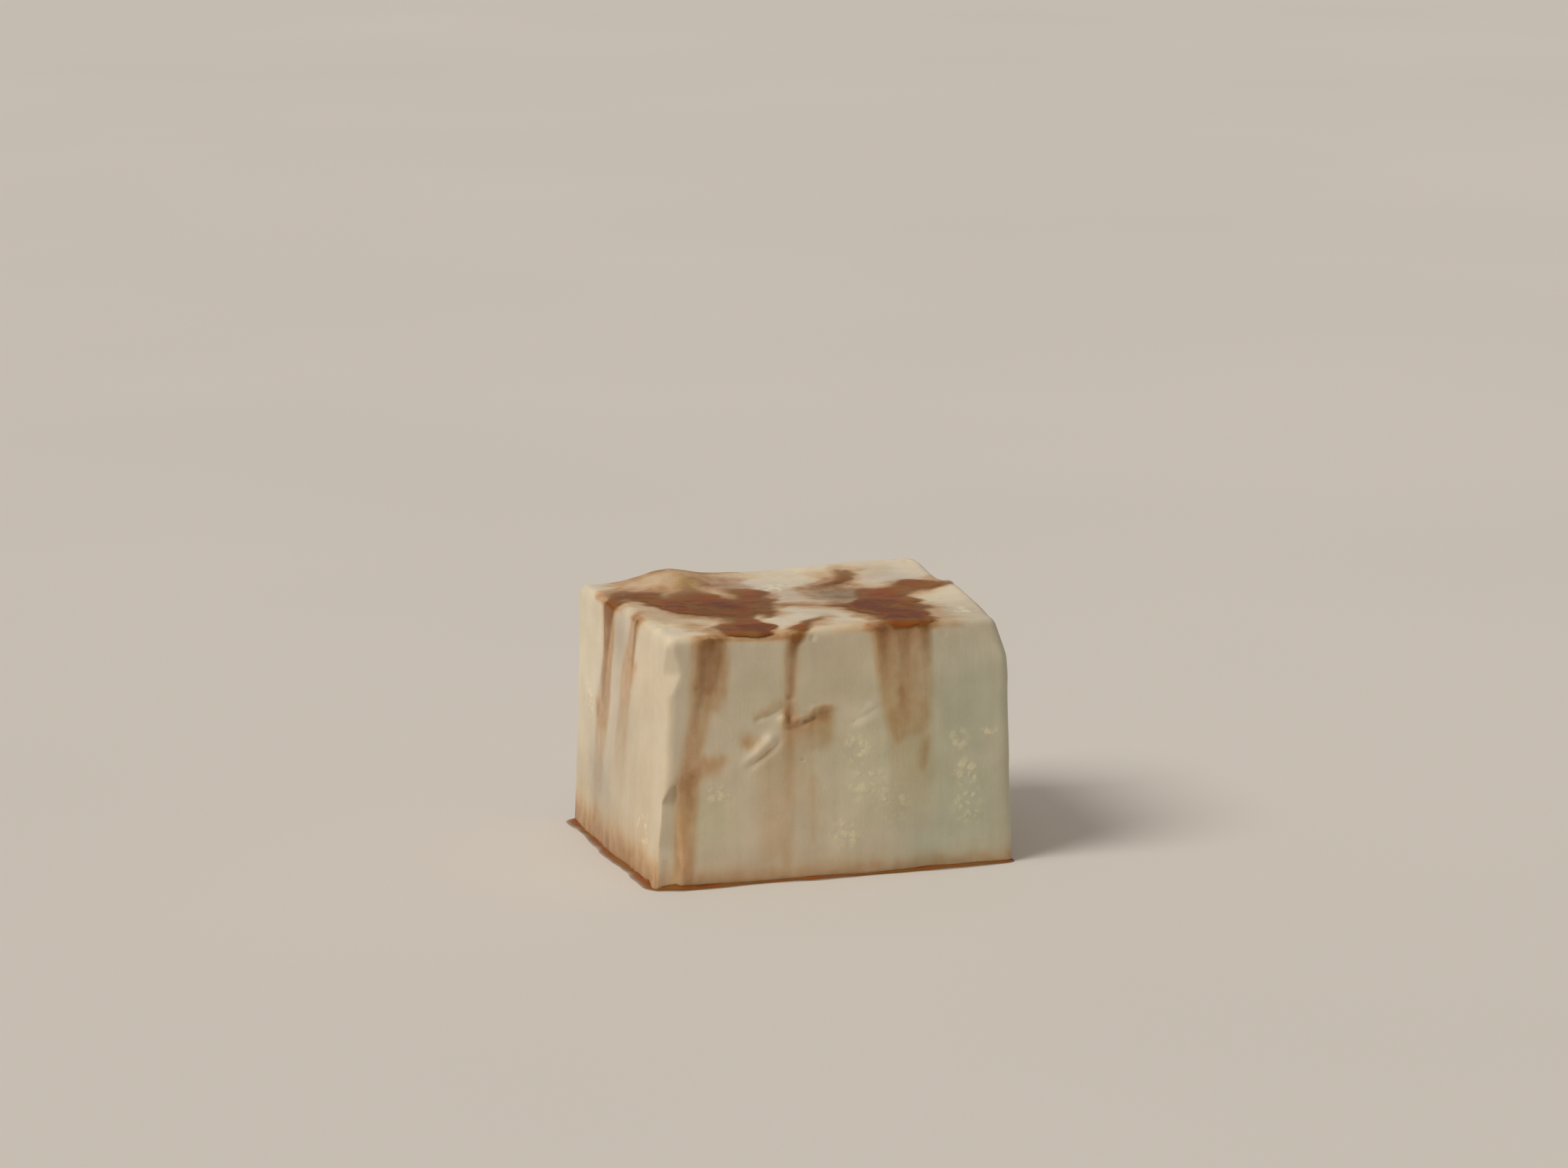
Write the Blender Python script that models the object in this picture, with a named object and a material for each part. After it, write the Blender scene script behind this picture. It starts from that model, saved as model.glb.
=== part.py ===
"""A block of soft white tofu, turned out of its tub and left to settle.

One solid: a low rectangular block that spreads a little at its foot, with rounded top edges, an uneven top,
one slumped shoulder and the small breaks that soft curd gets from handling.

Run with: blender --background --python part.py
Metres, +Z up. The origin is the middle of the foot, X runs along the block and the front faces -Y.
"""

import math

import bmesh
import bpy
from mathutils import Matrix, Vector

MM = 0.001

# The block as it stands on its foot.
FOOT_LENGTH = 91 * MM
FOOT_DEPTH = 73 * MM
HEIGHT = 60.5 * MM
EDGE_RADIUS = 2.1 * MM

# How far the walls lean in from the foot to the top.
LEAN_LEFT_FRONT = 4.4 * MM
LEAN_LEFT_BACK = 2.0 * MM
LEAN_RIGHT = 1.4 * MM
LEAN_FRONT_BACK = 2.4 * MM
FOOT_FLARE = 0.6

# The soft curd swells between its corners, low down, and its walls aren't quite true.
WALL_SWELL = 0.8 * MM
WALL_WAVE = 0.3 * MM

# The spacing of the surface grid, and the steps that each rounded edge takes on one side of its bisector.
CELL = 4.2 * MM
EDGE_STEPS = 3

# Rises and hollows of the top: (x and y as shares of half the foot, radius, height).
TOP_RELIEF = (
    (-1.0, 0.95, 9 * MM, 0.4 * MM),  # left back corner, a little high
    (-1.0, -0.15, 15 * MM, 0.9 * MM),  # left edge, slightly crowned
    (-0.50, 0.86, 9 * MM, 3.2 * MM),  # hump at the back
    (-0.15, 0.98, 9 * MM, 0.9 * MM),  # its tail along the back edge
    (0.55, 1.0, 22 * MM, 1.7 * MM),  # back edge, slightly crowned
    (0.98, 0.95, 9 * MM, 0.8 * MM),  # right back corner, a little high
    (0.96, 0.02, 9 * MM, 1.4 * MM),  # low rise on the right edge
    (-0.40, 0.12, 15 * MM, -0.9 * MM),  # left hollow
    (0.50, -0.20, 16 * MM, -0.9 * MM),  # right hollow
    (-0.42, -0.92, 8 * MM, -0.7 * MM),  # dip in the front edge
)

# The right front shoulder has slumped inwards and down.
SHOULDER_IN = 2.6 * MM
SHOULDER_DOWN = 0.8 * MM
SHOULDER_FROM = 0.80

# A wedge knocked out of the left front corner: where and how far it is deepest, and how far it runs out
# above and below.
CHIP_HEIGHT = 51.6 * MM
CHIP_DEPTH = 1.6 * MM
CHIP_ABOVE = 7.5 * MM
CHIP_BELOW = 5.0 * MM

# A long flake lost from the same corner's foot: centre as (x, y) shares of half the foot and height,
# half sizes, and its turn about X and Y in degrees.
FLAKE = ((-0.925, -1.045, 6.0 * MM), (5.3 * MM, 3.1 * MM, 24.5 * MM), (-3.5, 8.0))

# Cuts in the front face, each from one point to another: (x, z, x, z, width, depth).
TEAR = (
    (-19.8 * MM, 39.2 * MM, -12.4 * MM, 41.8 * MM, 1.0 * MM, 0.9 * MM),
    (-13.2 * MM, 42.2 * MM, -12.0 * MM, 36.8 * MM, 1.2 * MM, 1.2 * MM),
    (-13.2 * MM, 37.4 * MM, -0.7 * MM, 40.5 * MM, 1.2 * MM, 1.3 * MM),
)
NICKS = (
    (-24.2 * MM, 27.6 * MM, -13.8 * MM, 35.2 * MM, 2.0 * MM, 1.1 * MM),
    (2.6 * MM, 36.4 * MM, 12.4 * MM, 41.4 * MM, 1.5 * MM, 0.8 * MM),
)

CURD_COLOUR = (0.78, 0.70, 0.54, 1.0)
CURD_ROUGHNESS = 0.42


def clear_scene():
    for item in list(bpy.data.objects):
        bpy.data.objects.remove(item)


def collection(name):
    made = bpy.data.collections.new(name)
    bpy.context.scene.collection.children.link(made)
    return made


def move_to(item, target):
    for owner in list(item.users_collection):
        owner.objects.unlink(item)
    target.objects.link(item)


def curd_material():
    made = bpy.data.materials.new("tofu_curd")
    made.use_nodes = True
    shader = made.node_tree.nodes["Principled BSDF"]
    shader.inputs["Base Color"].default_value = CURD_COLOUR
    shader.inputs["Roughness"].default_value = CURD_ROUGHNESS
    shader.inputs["Metallic"].default_value = 0.0
    return made


def smooth_step(value, start, end):
    share = min(1.0, max(0.0, (value - start) / (end - start)))
    return share * share * (3 - 2 * share)


def edge_stations(half):
    """Grid lines across one side, from its middle to where the rounded edge meets its bisector."""
    flat = half - EDGE_RADIUS
    count = max(1, round(flat / CELL))
    lines = [flat * step / count for step in range(count + 1)]
    for step in range(1, EDGE_STEPS):
        lines.append(flat + EDGE_RADIUS * math.tan(math.radians(45 * step / EDGE_STEPS)))
    return lines


def grid_lines():
    """Every cut through the starting box, as (axis, place)."""
    lines = []
    for axis, half in ((0, FOOT_LENGTH / 2), (1, FOOT_DEPTH / 2)):
        for place in edge_stations(half):
            lines += [(axis, place), (axis, -place)]
    middle = HEIGHT / 2
    for place in edge_stations(middle):
        lines += [(2, middle + place), (2, middle - place)]
    return sorted(set(lines))


def rounded(point):
    """The box's point moved onto rounded upright and top edges. The foot stays sharp."""
    inner = Vector((
        max(-FOOT_LENGTH / 2 + EDGE_RADIUS, min(FOOT_LENGTH / 2 - EDGE_RADIUS, point.x)),
        max(-FOOT_DEPTH / 2 + EDGE_RADIUS, min(FOOT_DEPTH / 2 - EDGE_RADIUS, point.y)),
        min(HEIGHT - EDGE_RADIUS, point.z),
    ))
    out = point - inner
    if out.length < 1e-9:
        return point.copy()
    return inner + out * (max(abs(value) for value in out) / out.length)


def lean(height):
    """Share of the full lean that a wall has at this share of the height, steeper near the foot."""
    return FOOT_FLARE * (1 - (1 - height) ** 2) + (1 - FOOT_FLARE) * height


def top_rise(x, y):
    rise = 0.0
    for share_x, share_y, radius, height in TOP_RELIEF:
        away = math.hypot(x - share_x * FOOT_LENGTH / 2, y - share_y * FOOT_DEPTH / 2) / radius
        rise += height * math.exp(-away * away)
    return rise


def wall_wave(share, height, phase):
    """The slight, uneven wave of one wall: along it, up it and with its own phase."""
    slow = math.sin(3.7 * share + 2.9 * height + 5 * phase)
    quick = math.sin(8.9 * share - 4.1 * height + 3 * phase)
    return WALL_WAVE * (slow + quick / 2)


def settled(point):
    """The rounded box's point after the curd has leaned, swelled and slumped."""
    across = point.x / (FOOT_LENGTH / 2)
    along = point.y / (FOOT_DEPTH / 2)
    height = point.z / HEIGHT

    front = (1 - along) / 2
    left = LEAN_LEFT_FRONT * front + LEAN_LEFT_BACK * (1 - front)
    lean_x = left if across < 0 else LEAN_RIGHT
    swell = WALL_SWELL * math.sin(math.pi * height ** 0.7)
    out_x = swell * (1 - along * along) - lean_x * lean(height)
    out_y = swell * (1 - across * across) - LEAN_FRONT_BACK * lean(height)

    x = point.x + across * out_x + across ** 2 * wall_wave(along, height, 0.6 + across)
    y = point.y + along * out_y + along ** 2 * wall_wave(across, height, 2.3 - along)
    z = point.z + top_rise(point.x, point.y) * smooth_step(height, 0.55, 1.0)

    slump = (
        smooth_step(across, 0.55, 1.0)
        * smooth_step(-along, 0.2, 1.0)
        * smooth_step(height, SHOULDER_FROM, 1.0)
    )
    return Vector((x - SHOULDER_IN * slump, y + SHOULDER_IN * slump / 2, z - SHOULDER_DOWN * slump))


def block_of_curd(home):
    """A primitive box, cut into a grid, rounded and settled."""
    bpy.ops.mesh.primitive_cube_add(size=1, location=(0, 0, 0))
    block = bpy.context.object
    block.name = "tofu_block"
    block.data.name = "tofu_block"
    move_to(block, home)

    sheet = bmesh.new()
    sheet.from_mesh(block.data)
    for vertex in sheet.verts:
        vertex.co.x *= FOOT_LENGTH
        vertex.co.y *= FOOT_DEPTH
        vertex.co.z = (vertex.co.z + 0.5) * HEIGHT
    for axis, place in grid_lines():
        normal = Vector((axis == 0, axis == 1, axis == 2))
        bmesh.ops.bisect_plane(
            sheet, geom=sheet.verts[:] + sheet.edges[:] + sheet.faces[:],
            plane_co=normal * place, plane_no=normal, dist=1e-6,
        )
    for vertex in sheet.verts:
        vertex.co = settled(rounded(vertex.co))
    bmesh.ops.recalc_face_normals(sheet, faces=sheet.faces)
    sheet.to_mesh(block.data)
    sheet.free()
    return block


def front_wall(x, z):
    """Where the front face stands at this length and height."""
    return settled(Vector((x, -FOOT_DEPTH / 2, z)))


def as_cutter(item, name, home):
    item.name = name
    item.hide_render = True
    item.display_type = "WIRE"
    move_to(item, home)
    return item


def ball(name, home, centre, half_sizes, turn):
    """A squashed ball that takes a bite out of the block, turned about X and then about Y."""
    bpy.ops.mesh.primitive_uv_sphere_add(segments=20, ring_count=12, radius=1)
    made = bpy.context.object
    made.scale = half_sizes
    made.rotation_euler = (*turn, 0)
    made.location = centre
    return as_cutter(made, name, home)


def corner_chip(home):
    """A three-sided prism that lies across the corner, with one of its edges pointing into the curd."""
    side = 12 * MM
    rise = math.atan2(CHIP_ABOVE, CHIP_DEPTH)
    fall = math.atan2(CHIP_BELOW, CHIP_DEPTH)
    bpy.ops.mesh.primitive_cylinder_add(vertices=3, radius=side, depth=3 * side)
    wedge = bpy.context.object
    wedge.scale.x = math.sqrt(3) * math.tan((rise + fall) / 2)

    inwards = Vector((1, 1, 0)).normalized()
    across = Vector((1, -1, 0)).normalized()
    turned = Matrix((inwards.cross(across), inwards, across)).transposed()
    turned = turned @ Matrix.Rotation((fall - rise) / 2, 3, "Z")
    wedge.rotation_euler = turned.to_euler()

    corner = settled(rounded(Vector((-FOOT_LENGTH / 2, -FOOT_DEPTH / 2, CHIP_HEIGHT))))
    wedge.location = corner + inwards * CHIP_DEPTH - turned @ Vector((0, side, 0))
    return as_cutter(wedge, "corner_chip", home)


def corner_flake(home):
    (share_x, share_y, height), half_sizes, turn = FLAKE
    front = share_y * FOOT_DEPTH / 2 + LEAN_FRONT_BACK * lean(height / HEIGHT)
    centre = (share_x * FOOT_LENGTH / 2, front, height)
    return ball("corner_flake", home, centre, half_sizes, [math.radians(angle) for angle in turn])


def front_cut(name, home, line):
    """A slim cut in the front face, deepest in its middle and closed at both ends."""
    start_x, start_z, end_x, end_z, width, depth = line
    start = front_wall(start_x, start_z)
    end = front_wall(end_x, end_z)
    run = end - start
    turn = (0, -math.atan2(run.z, run.x))
    return ball(name, home, (start + end) / 2, (run.length / 2, depth, width / 2), turn)


def cut_away(block, tool):
    cut = block.modifiers.new(tool.name, "BOOLEAN")
    cut.operation = "DIFFERENCE"
    cut.solver = "EXACT"
    cut.object = tool


def centre_on_foot(block, cutters):
    """Moves the block and its cutters so that the origin is the middle of the foot."""
    bpy.context.view_layer.update()
    shape = block.evaluated_get(bpy.context.evaluated_depsgraph_get()).to_mesh()
    for axis in (0, 1):
        places = [vertex.co[axis] for vertex in shape.vertices]
        shift = -(min(places) + max(places)) / 2
        for item in (block, *cutters):
            item.location[axis] += shift


def main():
    clear_scene()
    tofu = collection("tofu_block")
    tools = collection("cutters")

    block = block_of_curd(tofu)
    block.data.materials.clear()
    block.data.materials.append(curd_material())
    block.data.shade_smooth()

    cutters = [corner_chip(tools), corner_flake(tools)]
    for number, line in enumerate(TEAR, 1):
        cutters.append(front_cut(f"tear_{number}", tools, line))
    for number, line in enumerate(NICKS, 1):
        cutters.append(front_cut(f"nick_{number}", tools, line))
    for tool in cutters:
        cut_away(block, tool)
    centre_on_foot(block, cutters)


main()
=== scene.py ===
"""A block of soft tofu under thin brown sauce: the curd, the sauce that lies on it and runs off it, and a stage.

Laid out as an add-on with a panel of settings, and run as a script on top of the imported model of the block.
Metres, +Z up. The block stands on the floor with its middle at the origin and its front towards -Y.
"""

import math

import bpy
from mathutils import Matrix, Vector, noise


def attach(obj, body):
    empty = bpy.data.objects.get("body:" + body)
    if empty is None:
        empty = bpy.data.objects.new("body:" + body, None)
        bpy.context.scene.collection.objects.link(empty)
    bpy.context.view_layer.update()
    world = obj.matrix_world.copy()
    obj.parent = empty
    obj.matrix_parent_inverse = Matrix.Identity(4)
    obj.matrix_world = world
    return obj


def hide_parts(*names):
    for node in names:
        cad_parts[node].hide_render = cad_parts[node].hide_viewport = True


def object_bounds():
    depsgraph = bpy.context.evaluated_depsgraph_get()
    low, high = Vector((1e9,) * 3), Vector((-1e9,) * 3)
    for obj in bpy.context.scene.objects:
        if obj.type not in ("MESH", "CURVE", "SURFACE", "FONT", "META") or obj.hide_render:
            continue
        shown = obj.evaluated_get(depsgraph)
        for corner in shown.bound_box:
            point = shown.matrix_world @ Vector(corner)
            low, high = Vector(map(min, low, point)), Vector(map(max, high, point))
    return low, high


bl_info = {
    "name": "Tofu block",
    "version": (1, 0, 0),
    "blender": (4, 5, 0),
    "location": "View3D > Sidebar > Tofu",
    "description": "Dresses a block of soft tofu with its curd surface and thin brown sauce",
    "category": "Object",
}

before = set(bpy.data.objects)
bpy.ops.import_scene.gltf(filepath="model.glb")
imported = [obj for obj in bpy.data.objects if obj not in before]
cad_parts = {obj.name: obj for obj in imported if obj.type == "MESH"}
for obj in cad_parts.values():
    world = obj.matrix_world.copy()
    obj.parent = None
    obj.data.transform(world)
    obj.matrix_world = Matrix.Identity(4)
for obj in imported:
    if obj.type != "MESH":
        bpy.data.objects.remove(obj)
CAD_LOW, CAD_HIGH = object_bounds()

NODE = "tofu_block"
BODY = "root"

# Patterns are laid out in millimetres from the middle of the foot, for a block of this length.
PATTERN_LENGTH = 92.2
MM = (CAD_HIGH.x - CAD_LOW.x) / PATTERN_LENGTH

# Sets the smooth noise that drawn shapes wander by.
PATTERN_SEED = 7
noise.seed_set(PATTERN_SEED)

# Each side of the block: the axes its patterns are drawn along, and the way it faces.
SIDES = {
    "top": (0, 1, Vector((0, 0, 1))),
    "front": (0, 2, Vector((0, -1, 0))),
    "left": (1, 2, Vector((-1, 0, 0))),
    "back": (0, 2, Vector((0, 1, 0))),
    "right": (1, 2, Vector((1, 0, 0))),
}

# Sauce thick enough to stand on the curd: strokes of (along, up, reach, strength).
LIQUID = {
    "top": (
        ((-46, 4, 3.0, 0.5), (-41, 12, 3.2, 0.5), (-37, 20, 3.0, 0.45), (-31, 15, 4.0, 0.5)),
        ((-34, 13, 3.6, 0.6), (-31, 5, 4.8, 0.85), (-30, -4, 4.8, 0.9), (-27, -11, 3.2, 0.6)),
        ((-20, 18, 3.6, 0.26), (-21, 12, 6.6, 0.36), (-20, 3, 9.0, 0.45), (-19, -8, 8.8, 0.5), (-19.5, -17, 5.6, 0.4),
         (-19, -25, 5.0, 0.36)),
        ((-27, 10, 3.0, 0.4), (-19, 11, 3.8, 0.5), (-16.5, 2, 5.4, 0.7), (-18, -8, 5.6, 0.75)),
        ((-11, 16, 2.6, 0.4), (-7, 12, 4.4, 0.5), (-8, 4, 4.4, 0.7), (-9, -5, 3.6, 0.7), (-11, -18, 2.0, 0.5)),
        ((-25, -24, 2.0, 0.4), (-22, -30, 7.0, 0.8), (-17.5, -29, 4.6, 0.9), (-23, -38, 5.6, 0.75)),
        ((-17, -14, 2.8, 0.4), (-18.5, -24, 3.4, 0.4)),
        ((1, -22, 1.2, 0.4), (-4, -26.5, 2.2, 0.6), (-8, -32, 2.6, 0.8), (-9.5, -38, 2.5, 0.7)),
        ((16, 4, 6.0, 0.16), (22, 0, 6.0, 0.3), (21, -10, 8.6, 0.5), (20, -24, 8.0, 0.5), (18, -38, 7.6, 0.45)),
        ((21, 4, 2.8, 0.5), (20, -5, 4.6, 0.75), (14, -12, 4.4, 0.9), (15.5, -18, 4.4, 0.9)),
        ((19, -20, 4.6, 1.0), (21, -26, 4.4, 0.95), (18, -38, 5.4, 0.75)),
        ((27, 3, 3.4, 0.44), (27.5, -8, 3.2, 0.44), (29, -18, 1.8, 0.4)),
        ((12, -9, 2.4, 0.6), (5, -8, 1.7, 0.4), (-2, -5, 2.0, 0.4)),
        ((24, 0, 3.6, 0.5), (30, 2, 4.6, 0.5), (34.5, 9, 4.2, 0.6), (36, 2, 4.4, 0.6), (40, 2, 3.4, 0.4),
         (47, 6, 3.4, 0.5)),
        ((10, 11, 1.8, 0.3), (15, 13, 3.0, 0.7), (19, 16.5, 3.6, 0.46), (21.5, 23, 3.0, 0.36)),
    ),
    "front": (
        ((-31.0, 63, 2.6, 0.5), (-31.5, 60, 2.2, 0.34), (-32.8, 55, 1.9, 0.28), (-33.6, 47, 1.5, 0.2), (-35.5, 38, 1.1, 0.06)),
        ((-28.0, 63, 2.2, 0.4), (-28.5, 60, 1.8, 0.28), (-28.8, 54, 1.3, 0.2), (-30, 48, 1.0, 0.06)),
        ((-8.8, 63, 3.2, 0.8), (-9.4, 60, 2.6, 0.5), (-10.6, 57.5, 1.9, 0.3), (-11.2, 52, 1.6, 0.2),
         (-11.7, 44, 1.4, 0.16), (-11.9, 39, 1.1, 0.06)),
        ((12.8, 63, 3.0, 0.6), (12.4, 59.5, 2.2, 0.24), (12.4, 54, 1.6, 0.14), (12.6, 48, 1.1, 0.04)),
        ((17.4, 63, 3.4, 0.6), (17.2, 59.5, 2.6, 0.26), (17.0, 51, 1.5, 0.08)),
        ((22.2, 63, 2.8, 0.6), (22.6, 59.5, 2.0, 0.26), (23.3, 50, 1.1, 0.06)),
    ),
    "left": (
        ((10.5, 64, 5.2, 0.6), (10.8, 57, 4.0, 0.4), (11.4, 51, 2.8, 0.3), (12, 43, 1.8, 0.18),
         (12.6, 36, 1.2, 0.06)),
        ((-12, 63, 2.4, 0.12), (-11.4, 59.5, 1.9, 0.34), (-10.6, 48, 1.2, 0.06)),
    ),
    "back": (
        ((-18, 63, 2.6, 0.4), (-18.3, 59, 1.9, 0.4), (-18.6, 52, 1.4, 0.3), (-19, 45, 1.2, 0.2),
         (-19, 39, 1.2, 0.06)),
    ),
    "right": (
        ((6, 64, 4.2, 0.5), (6.4, 56, 2.6, 0.4), (6.4, 47, 1.7, 0.3), (6, 38, 1.3, 0.2), (5.8, 31, 1.2, 0.06)),
    ),
}

# How readily strokes that meet flow into one: the lower, the more.
RUN_TOGETHER = 0.8

# Where sauce has soaked in or run past, and one stroke of painted shade: strokes of (along, up, reach, strength).
SOAKED_AND_PAINTED_SHADE = {
    "top": (
        ((-47, 5, 4, 0.7), (-40, 14, 4.5, 0.65), (-36, 23, 3.5, 0.55)),
        ((-36, 10, 7, 0.4), (-36, -12, 6, 0.26), (-30, -26, 4, 0.2)),
        ((-28, 14, 8, 0.6), (-24, 2, 11, 0.7), (-22, -10, 9, 0.65), (-20, -20, 6, 0.55), (-21, -38, 10, 0.6)),
        ((-14, 20, 9, 0.45), (-9, 6, 8, 0.6), (-10, -14, 4, 0.5)),
        ((-33, -22, 2.5, 0.35), (-32, -28, 2, 0.3)),
        ((-47, -14, 3.5, 0.5), (-41, -8, 3, 0.3)),
        ((-10, -38, 3.6, 0.6), (-6, -30, 3.4, 0.5), (2, -22, 2.6, 0.4)),
        ((-33, 31, 3.6, 0.36), (-22, 33.5, 4.4, 0.6), (-12, 33.5, 4, 0.5), (-3, 34, 3, 0.32)),
        ((-25, 33.5, 1.8, 0.6), (-17, 33.8, 1.6, 0.6)),
        ((-32, 39, 4, 0.3), (-6, 39, 4, 0.3)),
        ((-30, 27, 7, 0.3), (-16, 28, 9, 0.38), (-6, 29, 6, 0.25)),
        ((17, -38, 9, 0.6), (18, -22, 9, 0.62), (19, -4, 10, 0.55), (14, 6, 9, 0.46)),
        ((24, 0, 6, 0.5), (33, 5, 8, 0.55), (47, 6, 6, 0.5)),
        ((41, 15, 1.8, 0.5), (43, 12, 1.4, 0.4)),
        ((-3, -4, 3, 0.45), (5, -8, 4.5, 0.42), (12, -10, 5, 0.5)),
        ((10, 11, 3, 0.4), (17, 15, 5.4, 0.45), (22, 25, 4.4, 0.38)),
        ((14, 24, 3, 0.24), (13, 17, 3, 0.2)),
        ((28, -14, 4, 0.4), (28, -28, 3.6, 0.34), (29, -38, 3, 0.3)),
        ((3, -31, 3, 0.2), (8, -34, 3, 0.4), (8, -38, 4, 0.4)),
        ((0, 2, 10, 0.13), (8, 4, 8, 0.18), (28, 22, 6, 0.12)),
    ),
    "front": (
        ((-33, 64, 2.8, 0.42), (-33, 54, 2.6, 0.4), (-33.4, 44, 2.8, 0.4), (-35.2, 35, 2.6, 0.42),
         (-37, 27, 2.4, 0.5), (-37.4, 18, 2.3, 0.58), (-37.8, 8, 2.3, 0.52), (-38.4, 0, 3.0, 0.5)),
        ((-28.5, 64, 3.0, 0.34), (-28.8, 53, 2.4, 0.32), (-30.4, 43, 2.0, 0.26)),
        ((-31, 58, 4.2, 0.24), (-31, 50, 4.0, 0.16)),
        ((-28.6, 30, 1.6, 0.34), (-32, 28, 2.2, 0.42), (-36.5, 25.5, 2.4, 0.34)),
        ((-8.5, 64, 4.0, 0.44), (-10.6, 58, 2.1, 0.36), (-11.3, 50, 1.9, 0.3), (-11.7, 42, 1.8, 0.3)),
        ((-12.2, 40, 1.5, 0.4), (-12.6, 30, 1.7, 0.28), (-12.8, 14, 1.6, 0.22), (-12.6, 0, 1.6, 0.3)),
        ((-12.5, 38.2, 1.0, 0.5), (-8, 38.6, 1.4, 0.4), (-3.0, 40.4, 1.8, 0.5)),
        ((-10, 38.4, 3.0, 0.2), (-4.4, 38.6, 3.4, 0.2)),
        ((-10.5, 34.5, 3.2, 0.2), (-4.2, 34.8, 3.2, 0.2)),
        ((-2.2, 40.5, 1.2, 0.24), (-2.0, 34.5, 1.0, 0.16)),
        ((-9, 28, 3.4, 0.12), (-9, 20, 3.0, 0.08)),
        # Painted shade: a brown spot above and left of the lower nick, where its upper wall is in shade.
        ((-22.5, 34.4, 1.6, 0.4), (-20, 34.8, 1.0, 0.3)),
        ((-19.6, 40.6, 0.7, 0.3), (-14, 42.3, 0.8, 0.3)),
        ((-17.5, 31, 2.4, 0.14), (-17, 8, 2.8, 0.16)),
        ((-5.6, 23, 1.0, 0.2), (-6.4, 10, 1.0, 0.18)),
        ((17.0, 64, 7.2, 0.46), (17.2, 53, 6.8, 0.42), (17.8, 43, 6.4, 0.38), (18.4, 38, 5.6, 0.3)),
        ((18.4, 37, 6.0, 0.2), (19, 26, 5.6, 0.14), (19, 12, 5.0, 0.04)),
        ((11.6, 62, 1.8, 0.3), (11.8, 50, 1.2, 0.24)),
        ((12, 60, 3.4, 0.3), (22, 60, 3.4, 0.3)),
        ((22.4, 31, 1.2, 0.36), (21.8, 27, 1.0, 0.4)),
        ((16.6, 45, 1.0, 0.34), (17.4, 42.6, 0.7, 0.3)),
    ),
    "left": (
        ((10.5, 64, 5.2, 0.56), (10.5, 57, 4.8, 0.52), (9.8, 51, 4.2, 0.5), (10.2, 46, 3.8, 0.5),
         (11, 40, 4.4, 0.48), (12, 33, 5.2, 0.44), (13, 26, 4.8, 0.3), (13, 16, 4.6, 0.18)),
        ((16.5, 33, 2.4, 0.3), (14, 31.5, 2.0, 0.3)),
        ((-12, 64, 3.2, 0.5), (-9.5, 57, 3.2, 0.42), (-7, 50, 4.4, 0.42), (-5.4, 42, 4.4, 0.36),
         (-5, 34, 4.4, 0.24), (-5, 18, 4.8, 0.04)),
        ((-10, 50, 1.8, 0.36), (-12.6, 49, 1.4, 0.4), (-10.5, 45.5, 1.6, 0.36)),
    ),
    "back": (
        ((-28, 66, 5, 0.4), (-29, 52, 3.6, 0.34), (-29, 38, 2.6, 0.22), (-29, 20, 2.2, 0.08)),
        ((-18, 65, 4.2, 0.6), (-18.6, 53, 2.8, 0.55), (-19, 41, 2.6, 0.5), (-19.6, 24, 2.2, 0.25)),
        ((-6, 65, 3.4, 0.4), (-5.4, 52, 2.4, 0.32), (-5, 40, 1.8, 0.16)),
        ((-36, 60, 1.6, 0.1), (-36, 44, 1.8, 0.16)),
    ),
    "right": (
        ((8, 65, 5.6, 0.6), (7.2, 55, 4.0, 0.55), (6.4, 44, 3.4, 0.46), (5.8, 30, 3.0, 0.36), (5.4, 10, 2.6, 0.14)),
        ((-20, 62, 2.8, 0.26), (-21, 46, 2.4, 0.22), (-21.5, 30, 2.0, 0.08)),
    ),
}

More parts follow.
